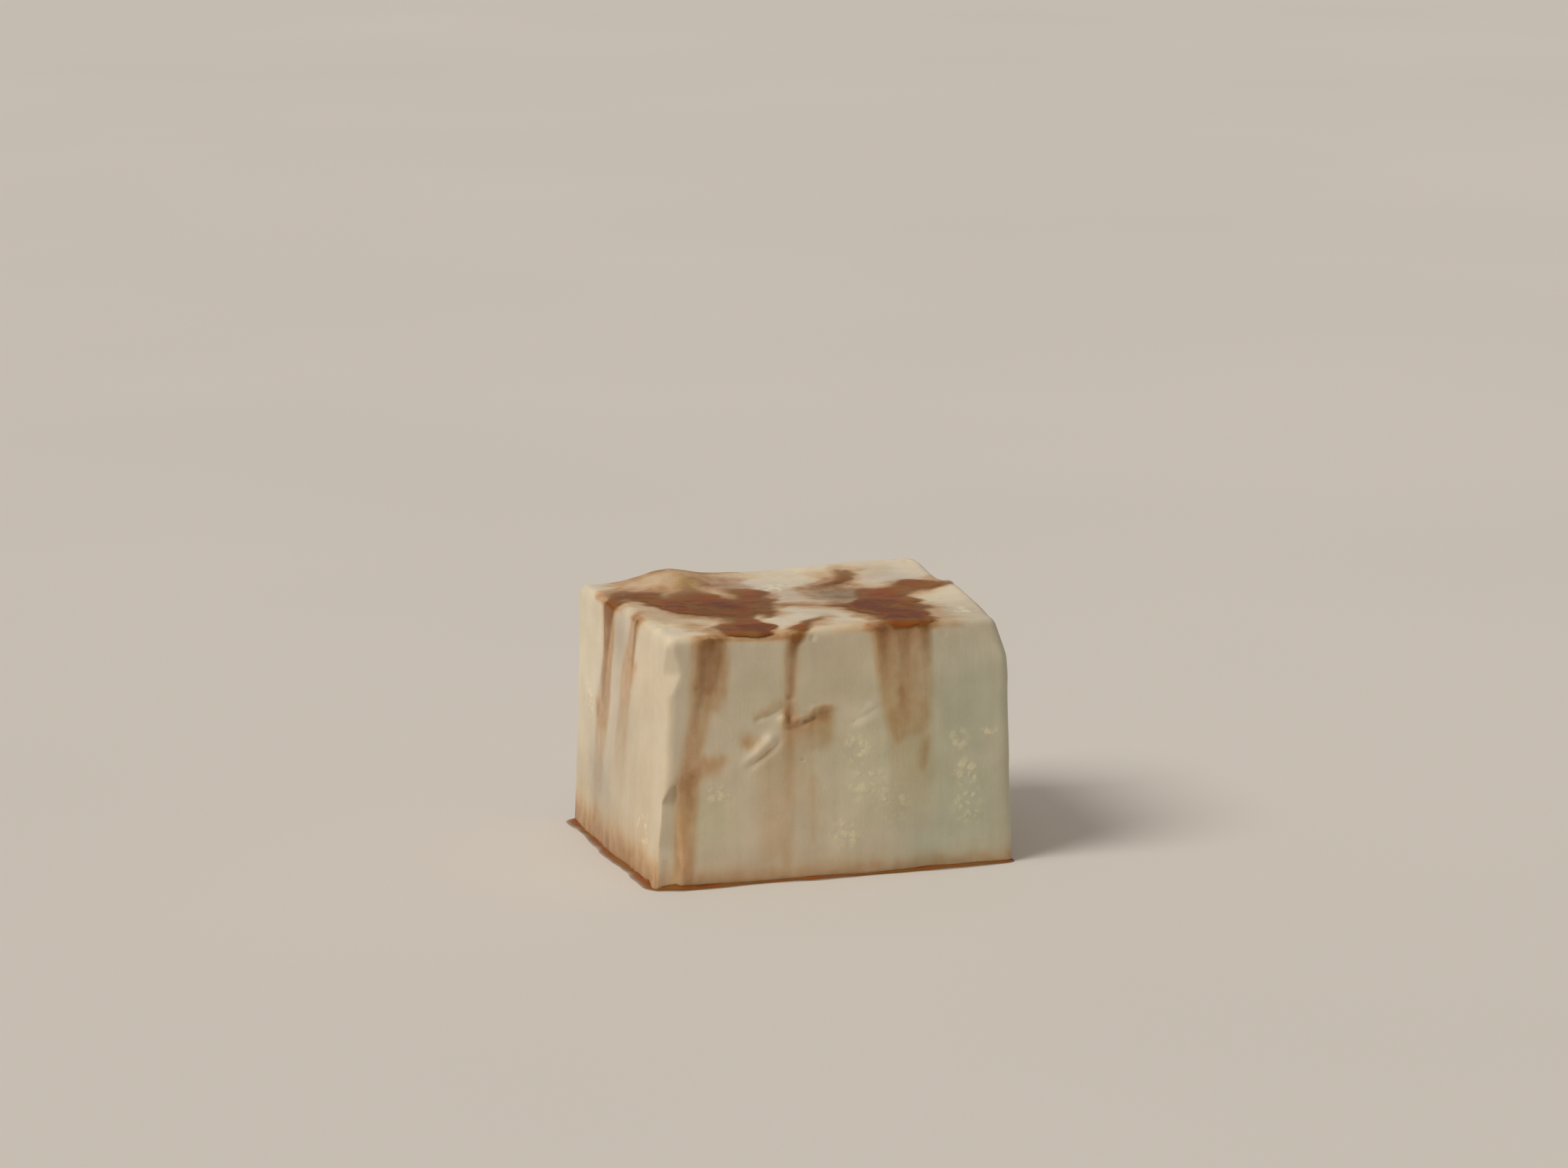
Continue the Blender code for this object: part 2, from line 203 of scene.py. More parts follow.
# Soft changes of the curd's colour: (along, up, reach, red, green, blue) as factors; the painted shade, highlights
# and reflections among them are marked where they stand.
TINTS_AND_PAINTED_LIGHT = {
    "front": (
        (-38, 50, 9, 0.98, 0.98, 0.98),
        (-20, 46, 13, 0.98, 1.0, 0.97),
        (-20, 16, 20, 1.04, 1.02, 1.0),
        (2, 52, 13, 0.98, 0.98, 0.94),
        (12, 26, 17, 0.98, 1.04, 0.98),
        # Painted shade: the right end of the front wall is darkened and turned sage where the shade deepens, partly
        # also the curd's own greener tone.
        (35, 42, 16, 0.84, 0.94, 0.94),
        (35, 14, 16, 0.85, 0.95, 0.94),
        (22, 5, 8, 0.92, 1.0, 1.06),
        (-31, 16, 7, 0.94, 1.0, 0.93),
        # Painted highlights: pale spots on the torn lips of the lower nick and of the nick to its right, where they
        # catch the light.
        (-16.6, 35.6, 2.2, 1.12, 1.12, 1.16),
        (-20.0, 32.8, 2.0, 1.10, 1.10, 1.14),
        (5, 38.8, 2.6, 1.10, 1.10, 1.14),
        (9, 41.2, 2.2, 1.10, 1.10, 1.16),
    ),
    "left": (
        (32, 45, 11, 1.03, 1.04, 1.02),
        (1, 53, 8, 0.74, 0.70, 0.72),
        (11, 39, 6, 0.88, 0.92, 1.0),
        (13, 17, 10, 0.74, 0.75, 0.80),
        (-20, 50, 13, 1.0, 0.96, 0.92),
        (-20, 22, 18, 0.92, 0.88, 0.83),
        (28, 14, 11, 0.94, 0.90, 0.85),
        (-3, 34, 10, 0.86, 0.84, 0.86),
        (0, 9, 16, 0.87, 0.85, 0.84),
    ),
    "top": (
        (-30, 30, 12, 0.93, 0.92, 0.94),
        (14, 33, 18, 1.02, 1.02, 1.0),
        (35, -24, 14, 0.80, 0.80, 0.80),
        (2, 8, 12, 0.84, 0.85, 0.92),
        # Painted reflections: lilac spots at the far edges of the pools, for the pale sky mirrored in the wet top.
        (14, 3, 7, 0.66, 0.82, 1.08),
        (-9, 21, 6, 0.82, 0.85, 1.06),
        (-19, 22, 4, 0.88, 0.90, 0.66),
        (30, 16, 8, 0.86, 0.89, 1.0),
        (-34, -14, 9, 0.90, 0.91, 0.90),
        (0, -18, 8, 0.92, 0.94, 0.97),
    ),
    "back": (
        (-25, 25, 20, 0.98, 0.95, 0.90),
        (30, 35, 16, 0.92, 0.97, 0.95),
    ),
    "right": (
        (-20, 35, 20, 0.90, 0.97, 0.96),
        (22, 20, 16, 0.95, 0.97, 0.95),
    ),
}

# Crumbly places where the skin has come off, with pale flecks that are painted highlights: (along, up, reach).
CRUMBLY = {
    "front": (
        (5, 31, 5), (8, 22, 7), (14, 17, 6), (31, 31, 4), (33, 23, 5), (34, 15, 6), (39, 32, 3.5),
        (-29.5, 22.5, 4), (2, 10, 5),
    ),
    "top": ((2, 14, 6), (36, -22, 6), (-37, -22, 5)),
    "left": ((24, 34, 6), (-24, 12, 6)),
    "back": ((-28, 18, 7), (10, 30, 6), (34, 14, 5)),
    "right": ((-12, 22, 7), (24, 40, 5)),
}

# The tear in the front wall, the nick below it and the one to its right, as (along, up) points.
TEAR = ((-12.2, 37.4), (-10.0, 37.5), (-6.0, 38.8), (-5.2, 40.4), (-1.4, 40.6))
UPPER_TEAR = ((-19.8, 39.6), (-15.5, 41.0), (-13.4, 42.4))
LOWER_NICK = ((-25.0, 28.4), (-20.0, 31.6), (-15.4, 36.0))
RIGHT_NICK = ((2.6, 37.0), (6.5, 38.6), (10.6, 41.6))

# The blade's mark low on the left front corner: where it starts and ends along the front and up it.
SHAVING = {"edge": -39.2, "top": 26.0, "droop": 0.26, "depth": 1.9}


# ---------------------------------------------------------------- settings


class CurdSettings(bpy.types.PropertyGroup):
    cell: bpy.props.FloatProperty(
        name="Cell", description="Spacing of the curd's mesh", default=0.56 * MM, min=0.3 * MM,
        unit="LENGTH", precision=5)
    smoothing: bpy.props.IntProperty(
        name="Smoothing", description="Passes that melt the block's facets together", default=14, min=0)
    relief: bpy.props.FloatProperty(
        name="Relief", description="Height of the curd's slow unevenness", default=0.16 * MM,
        unit="LENGTH", precision=5)
    pit_depth: bpy.props.FloatProperty(
        name="Pit depth", description="Depth of the small holes in the curd", default=0.4 * MM,
        unit="LENGTH", precision=5)
    lip: bpy.props.FloatProperty(
        name="Lip", description="How far torn curd stands out beside a nick", default=1.1 * MM,
        unit="LENGTH", precision=5)
    colour: bpy.props.FloatVectorProperty(
        name="Colour", description="Clean curd", subtype="COLOR", size=3, min=0, max=1,
        default=(0.82, 0.71, 0.53))
    deep_colour: bpy.props.FloatVectorProperty(
        name="Deep colour", description="The duller curd that mottles it", subtype="COLOR", size=3, min=0,
        max=1, default=(0.74, 0.64, 0.465))
    # Painted highlights: pale flecks on the crumbly patches, standing in for glints where the crumbs catch the light.
    fleck_highlight_colour: bpy.props.FloatVectorProperty(
        name="Fleck colour", description="Crumbs of fresh curd where the skin has come off", subtype="COLOR",
        size=3, min=0, max=1, default=(0.92, 0.84, 0.56))
    roughness: bpy.props.FloatProperty(
        name="Roughness", description="Of damp, clean curd", subtype="FACTOR", default=0.46, min=0, max=1)


class SauceSettings(bpy.types.PropertyGroup):
    depth: bpy.props.FloatProperty(
        name="Depth", description="Thickness of the sauce where it has pooled", default=0.45 * MM,
        unit="LENGTH", precision=5)
    run_depth: bpy.props.FloatProperty(
        name="Run depth", description="Thickness of the sauce where it runs down a wall", default=0.25 * MM,
        unit="LENGTH", precision=5)
    skirt: bpy.props.FloatProperty(
        name="Skirt", description="How far sauce has spread round the foot", default=1.5 * MM,
        unit="LENGTH", precision=5)
    amber: bpy.props.FloatVectorProperty(
        name="Amber", description="Sauce at its thin edges", subtype="COLOR", size=3, min=0, max=1,
        default=(0.46, 0.25, 0.10))
    chestnut: bpy.props.FloatVectorProperty(
        name="Chestnut", description="Sauce where it is deep", subtype="COLOR", size=3, min=0, max=1,
        default=(0.34, 0.090, 0.012))
    umber: bpy.props.FloatVectorProperty(
        name="Umber", description="Sauce where it is darkest", subtype="COLOR", size=3, min=0, max=1,
        default=(0.20, 0.055, 0.008))
    ochre: bpy.props.FloatVectorProperty(
        name="Ochre", description="Streaks of thinner sauce in a pool", subtype="COLOR", size=3, min=0, max=1,
        default=(0.29, 0.125, 0.02))
    roughness: bpy.props.FloatProperty(
        name="Roughness", description="Of the wet sauce", subtype="FACTOR", default=0.14, min=0, max=1)


class StageSettings(bpy.types.PropertyGroup):
    azimuth: bpy.props.FloatProperty(
        name="Azimuth", description="Camera's turn round the block, towards its left when negative",
        subtype="ANGLE", default=math.radians(-18.2))
    elevation: bpy.props.FloatProperty(
        name="Elevation", description="Camera's angle above the floor", subtype="ANGLE",
        default=math.radians(13))
    distance: bpy.props.FloatProperty(
        name="Distance", description="From the camera to the block's middle", default=1.2, unit="LENGTH")
    lens: bpy.props.FloatProperty(
        name="Lens", description="Focal length in millimetres on a 36 mm sensor", default=112.9)
    shift: bpy.props.FloatVectorProperty(
        name="Shift", description="Moves the picture so that the block stands low in it", size=2,
        default=(-0.0038, 0.088))
    floor_colour: bpy.props.FloatVectorProperty(
        name="Floor colour", description="The plain floor", subtype="COLOR", size=3, min=0, max=1,
        default=(0.72, 0.68, 0.62))
    key_strength: bpy.props.FloatProperty(
        name="Key strength", description="Of the soft light at the upper left", default=1.84)
    key_spread: bpy.props.FloatProperty(
        name="Key spread", description="How wide that light is", subtype="ANGLE", default=math.radians(28))
    world_strength: bpy.props.FloatProperty(
        name="World strength", description="Brightness of the soft light from all round", default=0.48)


# ---------------------------------------------------------------- patterns


def eased(value, start, end):
    """0 before start, 1 after end, and a smooth rise between them."""
    share = min(1.0, max(0.0, (value - start) / (end - start)))
    return share * share * (3 - 2 * share)


def on_side(point, normal, side):
    """1 on this side of the block, 0 off it, with a change over the rounded edge."""
    way = SIDES[side][2]
    outermost = max(way.dot(CAD_LOW), way.dot(CAD_HIGH))
    near = eased(outermost - way.dot(point), 13 * MM, 9 * MM)
    return near and near * eased(normal.dot(way), 0.08, 0.45)


def along_stroke(stroke, u, v):
    """For each leg of a stroke: how far inside its reach the place lies, and how far along the leg it is."""
    for start, end in zip(stroke, stroke[1:]):
        du = end[0] - start[0]
        dv = end[1] - start[1]
        share = ((u - start[0]) * du + (v - start[1]) * dv) / (du * du + dv * dv)
        share = min(1.0, max(0.0, share))
        away = math.hypot(u - start[0] - share * du, v - start[1] - share * dv)
        yield start, end, share, away


def depth_in(strokes, u, v):
    """Millimetres that a place lies inside the strokes, negative outside; strokes that meet run together."""
    total = 0.0
    for stroke in strokes:
        inside = max(
            start[2] + (end[2] - start[2]) * share - away
            for start, end, share, away in along_stroke(stroke, u, v)
        )
        total += math.exp(RUN_TOGETHER * inside)
    return math.log(total) / RUN_TOGETHER


def strength_in(strokes, u, v, softness):
    """How strongly the strokes of (along, up, reach, strength) cover a place, with soft edges."""
    clear = 1.0
    for stroke in strokes:
        best = 0.0
        for start, end, share, away in along_stroke(stroke, u, v):
            reach = start[2] + (end[2] - start[2]) * share
            strength = start[3] + (end[3] - start[3]) * share
            best = max(best, strength * eased(reach - away, -softness, softness))
        clear *= 1 - best
    return 1 - clear


def wander(point, size, reach, grain):
    """The point pushed about by smooth noise, so that drawn shapes get an uneven edge drawn out along the grain."""
    where = Vector([part / (size * stretch) for part, stretch in zip(point, grain)])
    push = noise.noise_vector(where)
    return point + Vector([part * reach * stretch for part, stretch in zip(push, grain)])


def grain_of(side):
    """Sauce spreads along the block on top and downwards on the walls."""
    return (2.2, 0.9, 1.0) if side == "top" else (0.7, 0.7, 2.6)


def spot(point, side):
    """A point's place on one side's pattern, in pattern millimetres."""
    first, second, _ = SIDES[side]
    return point[first] / MM, point[second] / MM


def liquid_at(point, normal):
    """Millimetres that a place lies inside the standing sauce, negative outside it, and how deep the sauce looks."""
    deepest, strength = -9.0, 0.0
    for side, strokes in LIQUID.items():
        share = on_side(point, normal, side)
        if share > 0:
            reach = (1.2 if side == "top" else 0.6) * MM
            moved = wander(point, 5 * MM, reach, grain_of(side))
            u, v = spot(wander(moved, 1.6 * MM, 0.36 * reach, grain_of(side)), side)
            flat = (0.3, 0.95) if side == "top" else (0.35, 0.8)
            inside = depth_in(strokes, u, v) - 6 * (1 - eased(normal.dot(SIDES[side][2]), *flat))
            deepest = max(deepest, inside)
            if inside > -1:
                strength = max(strength, share * strength_in(strokes, u, v, 1.3))
    return deepest, strength


def soak_and_painted_shade_at(point, normal):
    """How much sauce the curd has taken up here, from 0 to 1, together with one stroke of painted shade above the
    lower nick.
    """
    clear = 1.0
    for side, strokes in SOAKED_AND_PAINTED_SHADE.items():
        share = on_side(point, normal, side)
        if share > 0:
            reach = (1.7 if side == "top" else 0.9) * MM
            moved = wander(point, 6 * MM, reach, grain_of(side))
            moved = wander(moved, 1.9 * MM, 0.5 * reach, grain_of(side))
            softness = 2.2 if side == "top" else 1.5
            clear *= 1 - share * strength_in(strokes, *spot(moved, side), softness)
    return 1 - clear


def foot_soak_at(point, normal):
    """The brown band that the curd has drawn up from its foot, higher towards the left end and on the left wall."""
    left = 0.5 - point.x / (CAD_HIGH.x - CAD_LOW.x)
    side = eased(-normal.x, 0.3, 0.8)
    rise = (4.1 + 1.0 * left + 4.2 * side) * MM
    rise *= 1 + 0.4 * noise.noise(Vector((point.x, point.y, 0)) / (9 * MM))
    low = 1 - eased(point.z, 0, 1.9 * rise)
    band = 1 - eased(point.z, 0.35 * rise, 1.1 * rise)
    return (0.19 + 0.18 * side) * low + (0.24 + 0.1 * side) * band


def tint_and_painted_light_at(point, normal):
    """The change of the curd's colour here, as three factors, painted shade, highlights and reflections among them.
    """
    colour = Vector((1, 1, 1))
    for side, patches in TINTS_AND_PAINTED_LIGHT.items():
        share = on_side(point, normal, side)
        if share <= 0:
            continue
        u, v = spot(point, side)
        for along, up, reach, *factors in patches:
            weight = share * math.exp(-((u - along) ** 2 + (v - up) ** 2) / reach ** 2)
            colour = colour * (1 - weight) + Vector([c * f for c, f in zip(colour, factors)]) * weight
    return colour


def crumbly_at(point, normal):
    """How far the skin has come off here, from 0 to 1."""
    most = 0.0
    for side, patches in CRUMBLY.items():
        share = on_side(point, normal, side)
        if share > 0:
            u, v = spot(point, side)
            for along, up, reach in patches:
                away = math.hypot(u - along, v - up)
                most = max(most, share * (1 - eased(away, 0.3 * reach, reach)))
    return most


def from_line(line, u, v):
    """Distance from a place to a line of (along, up) points, and which side of it the place is on."""
    best = (1e9, 0.0, 0.0)
    legs = list(zip(line, line[1:]))
    for number, (start, end) in enumerate(legs):
        du = end[0] - start[0]
        dv = end[1] - start[1]
        share = min(1.0, max(0.0, ((u - start[0]) * du + (v - start[1]) * dv) / (du * du + dv * dv)))
        away = math.hypot(u - start[0] - share * du, v - start[1] - share * dv)
        above = du * (v - start[1]) - dv * (u - start[0])
        if away < best[0]:
            best = (away, math.copysign(1, above), (number + share) / len(legs))
    return best


# ---------------------------------------------------------------- modelling


def only(item):
    """Leaves this object alone selected and active."""
    bpy.ops.object.select_all(action="DESELECT")
    item.select_set(True)
    bpy.context.view_layer.objects.active = item


def new_piece(name, mesh):
    made = bpy.data.objects.new(name, mesh)
    bpy.context.scene.collection.objects.link(made)
    made.data.name = name
    made.data.materials.clear()
    return made


def apply(item, kind, **values):
    """Adds a modifier of this kind and applies it."""
    only(item)
    made = item.modifiers.new(kind.title(), kind)
    for name, value in values.items():
        setattr(made, name, value)
    bpy.ops.object.modifier_apply(modifier=made.name)


def in_edit_mode(item, *steps):
    """Runs edit mode steps on one object; each is an operator and its settings."""
    only(item)
    bpy.ops.object.mode_set(mode="EDIT")
    for operator, settings in steps:
        operator(**settings)
    bpy.ops.object.mode_set(mode="OBJECT")


def select_faces(item, wanted):
    """Selects the faces that pass the test, and nothing else."""
    bpy.context.tool_settings.mesh_select_mode = (False, False, True)
    mesh = item.data
    mesh.vertices.foreach_set("select", [False] * len(mesh.vertices))
    mesh.edges.foreach_set("select", [False] * len(mesh.edges))
    mesh.polygons.foreach_set("select", [bool(wanted(face)) for face in mesh.polygons])


def store(item, name, values):
    """Keeps one number for each vertex, for a material to read."""
    made = item.data.attributes.new(name, "FLOAT", "POINT")
    made.data.foreach_set("value", values)


def store_colour(item, name, values):
    made = item.data.attributes.new(name, "FLOAT_COLOR", "POINT")
    made.data.foreach_set("color", [part for colour in values for part in (*colour, 1.0)])


def dress(piece, material):
    """Gives a finished piece its material, smooth shading and its body."""
    piece.data.materials.append(material)
    piece.data.shade_smooth()
    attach(piece, BODY)


def mark_weight(point, normal):
    """How much a place may be smoothed: little at the tear and at the broken and shaved corner."""
    if point.y > CAD_LOW.y + 9 * MM:
        return 1.0
    u, v = spot(point, "front")
    weight = 0.6 + 0.4 * eased(from_line(TEAR, u, v)[0], 0.3, 2.2) if normal.y < -0.3 else 1.0
    chip = math.hypot(u + 41, (v - 52) / 1.6)
    weight = min(weight, eased(chip, 3.0, 6.0))
    if v < SHAVING["top"] + 1 and u < SHAVING["edge"] + 1:
        weight = min(weight, 0.3)
    return max(0.06, weight)


def flap(line, u, v, lip, width):
    """A nick: the skin steps out along the line, steeply above it, and falls back slowly below it."""
    away, above, share = from_line(line, u, v)
    across = away * above
    wide = width * (0.6 + share)
    ends = eased(share, 0.0, 0.6) * (1 - eased(share, 0.84, 1.0))
    return 0.75 * lip * ends * math.exp(-(across / (wide if across > 0 else 3.4 * wide)) ** 2)


def mark_height(point, normal, lip):
    """What the tear and the nicks add to the front wall: grooves, and torn curd that stands out beside them."""
    if normal.y > -0.5 or point.y > CAD_LOW.y + 6 * MM:
        return 0.0
    u, v = spot(point, "front")
    away, above, share = from_line(TEAR, u, v)
    height = -0.24 * lip * math.exp(-(away / 0.5) ** 2)
    if above > 0:
        height += 0.25 * lip * math.exp(-((away - 1.2) / 0.7) ** 2)
    away, above, share = from_line(UPPER_TEAR, u, v)
    height -= 0.25 * lip * math.exp(-(away / 0.5) ** 2)
    curl = math.hypot(u + 13.4, v - 39.4)
    height += 0.8 * lip * math.exp(-(curl / 0.9) ** 2)
    return height + flap(LOWER_NICK, u, v, lip, 0.9) + flap(RIGHT_NICK, u, v, 0.55 * lip, 0.9)


def shaved(point):
    """The blade's mark on the left front corner: a flat leaf whose tip is up at its right, with a crisp rim."""
    u, v = spot(point, "front")
    across = SHAVING["edge"] + 0.8 * noise.noise(Vector((0, 0, v / 5))) + 0.05 * (SHAVING["top"] - v)
    under = SHAVING["top"] - SHAVING["droop"] * max(0, across - u) ** 2 - v
    inside = min(across - u, 0.6 * under)
    if inside < -0.2:
        return point
    depth = SHAVING["depth"] * MM * eased(inside, -0.2, 0.9) * eased(v, 0, 11)
    wall = CAD_LOW.y + 0.5 * MM + 0.04 * point.z
    return Vector((point.x, max(point.y, wall + depth), point.z))


def pit_height(point):
    """A scatter of small round holes, at most one to each cell of a few millimetres."""
    if point.z < 9 * MM:
        return 0.0
    cell = 6.5 * MM
    distances, centres = noise.voronoi(point / cell)
    if noise.cell(centres[0] * 7.3) < 0.35:
        return 0.0
    width = (0.45 + 0.35 * noise.cell(centres[0] * 3.1)) * MM
    return -(1 - eased(distances[0] * cell, 0.35 * width, 1.6 * width))


def curd_height(point, normal, settings):
    """How far the fine relief moves the skin outwards here."""
    height = settings.relief * noise.noise(point / (11 * MM))
    height += 0.5 * settings.relief * noise.noise(point / (4.2 * MM))
    wall = 1 - abs(normal.z)
    grain = Vector((point.x / (1.6 * MM), point.y / (1.6 * MM), point.z / (22 * MM)))
    height += 0.22 * settings.relief * wall * noise.noise(grain)
    crumbly = crumbly_at(point, normal)
    if crumbly > 0:
        height += crumbly * 1.1 * settings.relief * (0.4 - abs(noise.noise(point / (1.5 * MM))))
    return height + settings.pit_depth * pit_height(point)


def make_curd(settings):
    """The block's skin: the CAD solid, melted into one fine surface and given its relief."""
    curd = new_piece("curd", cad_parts[NODE].data.copy())
    in_edit_mode(
        curd,
        (bpy.ops.mesh.select_all, {"action": "SELECT"}),
        (bpy.ops.mesh.remove_doubles, {"threshold": 0.02 * MM}),
    )
    apply(curd, "REMESH", mode="VOXEL", voxel_size=settings.cell)

    soft = curd.vertex_groups.new(name="smooth")
    for vertex in curd.data.vertices:
        soft.add([vertex.index], mark_weight(vertex.co, vertex.normal), "REPLACE")
    apply(curd, "SMOOTH", factor=0.5, iterations=settings.smoothing, vertex_group="smooth")
    curd.vertex_groups.clear()

    foot = 0.9 * settings.cell
    moves = []
    for vertex in curd.data.vertices:
        point, normal = vertex.co, vertex.normal
        height = curd_height(point, normal, settings)
        height += mark_height(point, normal, settings.lip)
        place = shaved(point + normal * height * eased(point.z, 0, 3 * MM))
        if place.z < foot or normal.z < -0.6 and place.z < 2 * MM:
            place.z = 0.0
        moves.append(place)
    for vertex, place in zip(curd.data.vertices, moves):
        vertex.co = place

    select_faces(curd, lambda face: face.normal.z < -0.9 and face.center.z < foot)
    in_edit_mode(
        curd,
        (bpy.ops.mesh.dissolve_limited, {"angle_limit": math.radians(2), "delimit": set()}),
        (bpy.ops.mesh.quads_convert_to_tris, {}),
    )
    return curd


def colour_curd(curd):
    """Works out what each place of the skin is tinted with and how much sauce it has drawn in, painted shade,
    highlights and reflections among them.
    """
    soaks_and_painted_shade, tints_and_painted_light, crumbs = [], [], []
    for vertex in curd.data.vertices:
        point, normal = vertex.co, vertex.normal
        inside, strength = liquid_at(point, normal)
        under = (0.24 + 0.5 * strength) * eased(inside, -0.6, 2.0)
        soaks_and_painted_shade.append(max(soak_and_painted_shade_at(point, normal), under, foot_soak_at(point, normal)))
        tints_and_painted_light.append(tint_and_painted_light_at(point, normal))
        crumbs.append(crumbly_at(point, normal))
    store(curd, "soak_and_painted_shade", soaks_and_painted_shade)
    store(curd, "crumb", crumbs)
    store_colour(curd, "tint_and_painted_light", tints_and_painted_light)


def make_sauce(curd, settings):
    """The standing sauce: a copy of the skin under the pools and runs, lifted to the liquid's surface."""
    rim = -0.5
    sauce = new_piece("sauce", curd.data.copy())
    for name in ("soak_and_painted_shade", "crumb", "tint_and_painted_light"):
        sauce.data.attributes.remove(sauce.data.attributes[name])
    inside = [liquid_at(vertex.co, vertex.normal)[0] > rim for vertex in sauce.data.vertices]
    select_faces(sauce, lambda face: not all(inside[corner] for corner in face.vertices))
    in_edit_mode(sauce, (bpy.ops.mesh.delete, {"type": "FACE"}))
    in_edit_mode(
        sauce,
        (bpy.ops.mesh.select_all, {"action": "SELECT"}),
        (bpy.ops.mesh.subdivide, {"number_cuts": 1, "smoothness": 0}),
    )

    level = sauce.vertex_groups.new(name="level")
    normals = [vertex.normal.copy() for vertex in sauce.data.vertices]
    depths = []
    for vertex, normal in zip(sauce.data.vertices, normals):
        depths.append(liquid_at(vertex.co, normal))
        level.add([vertex.index], eased(depths[-1][0], -0.2, 1.2), "REPLACE")
    apply(sauce, "SMOOTH", factor=0.5, iterations=24, vertex_group="level")
    sauce.vertex_groups.clear()

    thickness = []
    for vertex, normal, (depth, strength) in zip(sauce.data.vertices, normals, depths):
        flat = eased(normal.z, 0.2, 0.8)
        most = settings.run_depth + (settings.depth - settings.run_depth) * flat
        if depth > 0:
            lift = most * eased(depth, -0.7, 2.8)
            lift += 0.14 * MM * flat * eased(depth, 0, 2) * noise.noise(vertex.co / (5 * MM))
        else:
            lift = 0.35 * MM * depth
        thickness.append(eased(depth, -0.3, 1.6 + 0.9 * flat) * strength)
        vertex.co = vertex.co + normal * lift
    store(sauce, "thickness", thickness)
    apply(sauce, "SOLIDIFY", thickness=settings.depth + 0.5 * MM, offset=-1.0)
    return sauce


def foot_loop(curd):
    """The curd's outline on the floor, in order round the block."""
    mesh = curd.data
    rim = {}
    for edge in mesh.edges:
        first, second = (mesh.vertices[index] for index in edge.vertices)
        if first.co.z == 0 and second.co.z == 0:
            rim[edge.key] = 0
    for face in mesh.polygons:
        flat = all(mesh.vertices[index].co.z == 0 for index in face.vertices)
        for key in face.edge_keys:
            if key in rim:
                rim[key] += 1 if flat else -10
    ring = {}
    for (first, second), count in rim.items():
        if count == -9:
            ring.setdefault(first, []).append(second)
            ring.setdefault(second, []).append(first)
    start = min(ring)
    order = [start]
    before, here = None, start
    while True:
        after = next((index for index in ring[here] if index != before), None)
        if after is None or after == start:
            break
        order.append(after)
        before, here = here, after
    return [mesh.vertices[index].co.copy() for index in order]


def evened(values, reach):
    """A ring of vectors, each averaged with its neighbours."""
    count = len(values)
    total = sum((values[index] for index in range(-reach, reach + 1)), Vector())
    result = []
    for index in range(count):
        result.append(total / (2 * reach + 1))
        total = total + values[(index + reach + 1) % count] - values[index - reach]
    return result


def make_foot_sauce(curd, settings):
    """A narrow, uneven skirt of sauce that stands round the foot and climbs the wall a little."""
    loop = evened(foot_loop(curd), 2)
    count = len(loop)
    ways = []
    for index in range(count):
        ahead = loop[(index + 5) % count] - loop[index - 5]
        side = Vector((ahead.y, -ahead.x, 0)).normalized()
        ways.append(side if side.dot(loop[index]) > 0 else -side)
    ways = [way.normalized() for way in evened(ways, 9)]

    # The skirt's section: (share of the spread, height), from inside the curd, down to the floor, and its rim.
    section = (
        (-0.8, 1.9), (-0.1, 1.5), (0.03, 1.05), (0.14, 0.66), (0.32, 0.4), (0.56, 0.27), (0.8, 0.17), (0.95, 0.08),
        (1.0, 0.0),
    )
    bpy.ops.object.select_all(action="DESELECT")
    bpy.ops.mesh.primitive_circle_add(vertices=count, radius=1, fill_type="NOTHING")
    skirt = bpy.context.object
    skirt.name = "sauce_round_foot"
    skirt.data.name = "sauce_round_foot"
    bpy.ops.object.mode_set(mode="EDIT")
    bpy.ops.mesh.select_all(action="SELECT")
    for _ in section[1:]:
        bpy.ops.mesh.extrude_edges_move()
    bpy.ops.object.mode_set(mode="OBJECT")

    thickness = []
    for number, (share, height) in enumerate(section):
        for index, point in enumerate(loop):
            swell = 0.95 + 0.75 * noise.noise(point / (15 * MM)) + 0.25 * noise.noise(point / (6 * MM))
            left = eased(-point.x, 20 * MM, 44 * MM)
            spread = settings.skirt * max(0.3, swell) * (0.85 + 0.3 * left)
            place = point + ways[index] * (spread * share if share > 0 else 0.8 * MM * share)
            rise = height * MM * (0.9 + 0.3 * left + 0.3 * noise.noise(point / (9 * MM)))
            skirt.data.vertices[number * count + index].co = (place.x, place.y, max(0.0, rise) if height else 0.0)
            thickness.append(0.8 - 0.5 * eased(share, 0.1, 1.0))
    in_edit_mode(
        skirt,
        (bpy.ops.mesh.select_all, {"action": "SELECT"}),
        (bpy.ops.mesh.normals_make_consistent, {"inside": False}),
    )
    store(skirt, "thickness", thickness)
    return skirt


# ---------------------------------------------------------------- materials


